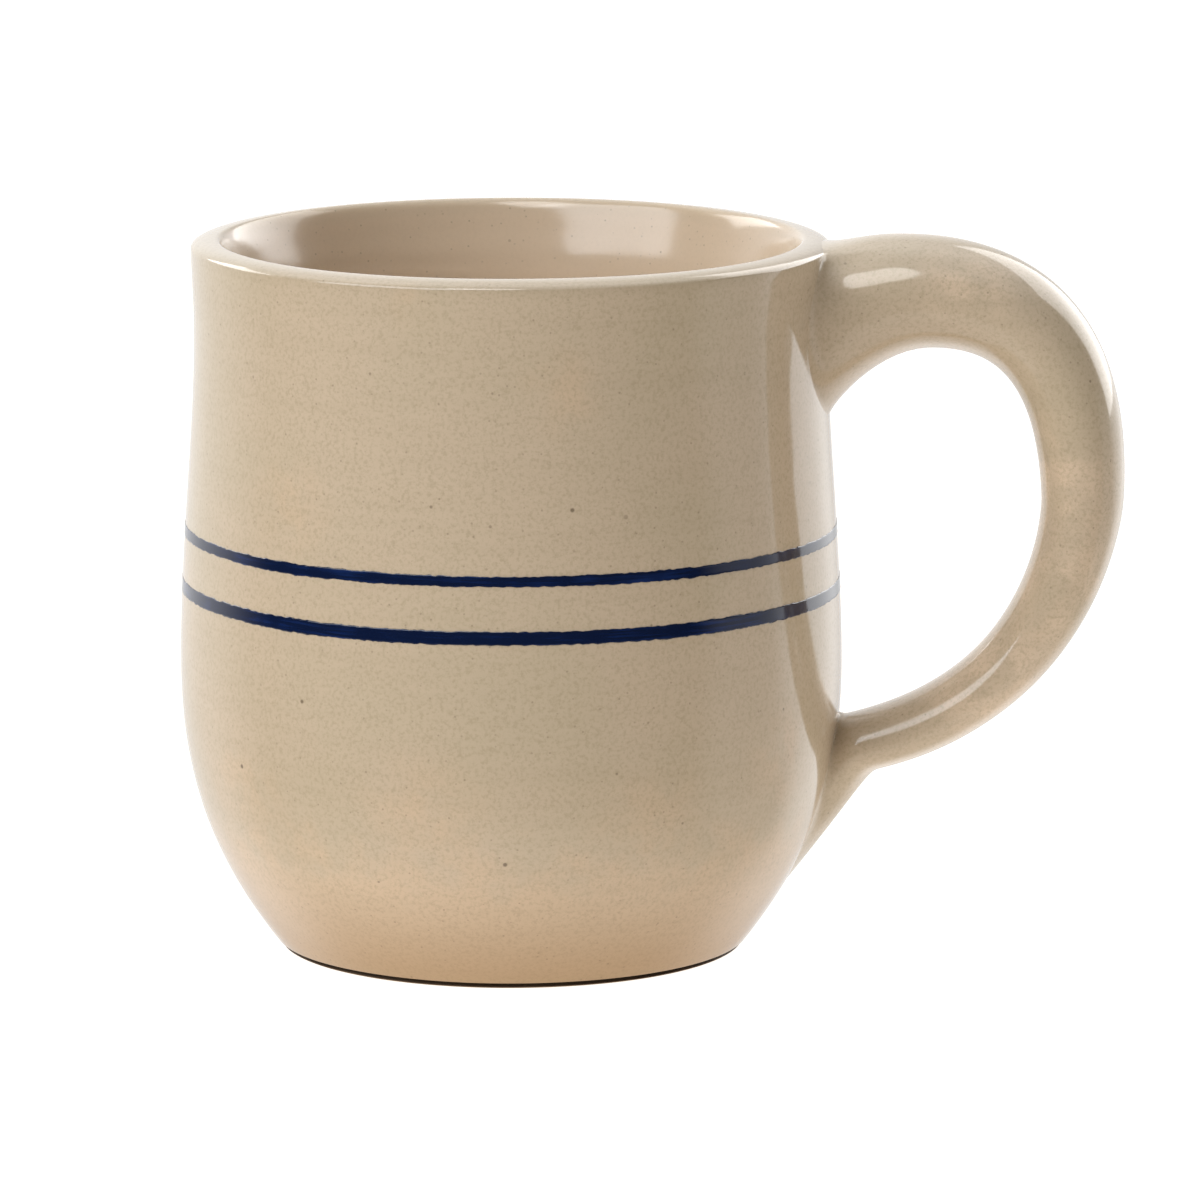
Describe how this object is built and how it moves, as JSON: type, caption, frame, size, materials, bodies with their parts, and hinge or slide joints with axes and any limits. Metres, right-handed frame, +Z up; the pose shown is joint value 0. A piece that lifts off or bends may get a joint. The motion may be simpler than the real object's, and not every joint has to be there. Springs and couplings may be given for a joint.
{
  "type": "stoneware mug",
  "caption": "Round-bellied stoneware mug with an ear-shaped handle luted to the wall, glazed inside and out, with thin blue bands; holds a hot drink.",
  "frame": {"origin": "centre of the flat underside, on the mug's own axis", "axes": "+Z up along the mug's axis, +X from the axis towards the handle, +Y across the handle"},
  "size_m": [0.1265, 0.0888, 0.0964],
  "materials": {
    "stoneware_clay": "bare fired stoneware, matte, with fine grit",
    "oatmeal_glaze": "glossy oatmeal glaze with iron specks and faint peach blushes",
    "blue_glaze": "deep blue brushed band under the gloss"
  },
  "bodies": {
    "root": {"thrown_body": "stoneware_clay", "handle": "stoneware_clay", "upper_handle_joint": "stoneware_clay", "lower_handle_joint": "stoneware_clay", "inside_glaze": "oatmeal_glaze", "outside_glaze": "oatmeal_glaze", "handle_glaze": "oatmeal_glaze", "upper_blue_band": "blue_glaze", "lower_blue_band": "blue_glaze"}
  },
  "joints": []
}
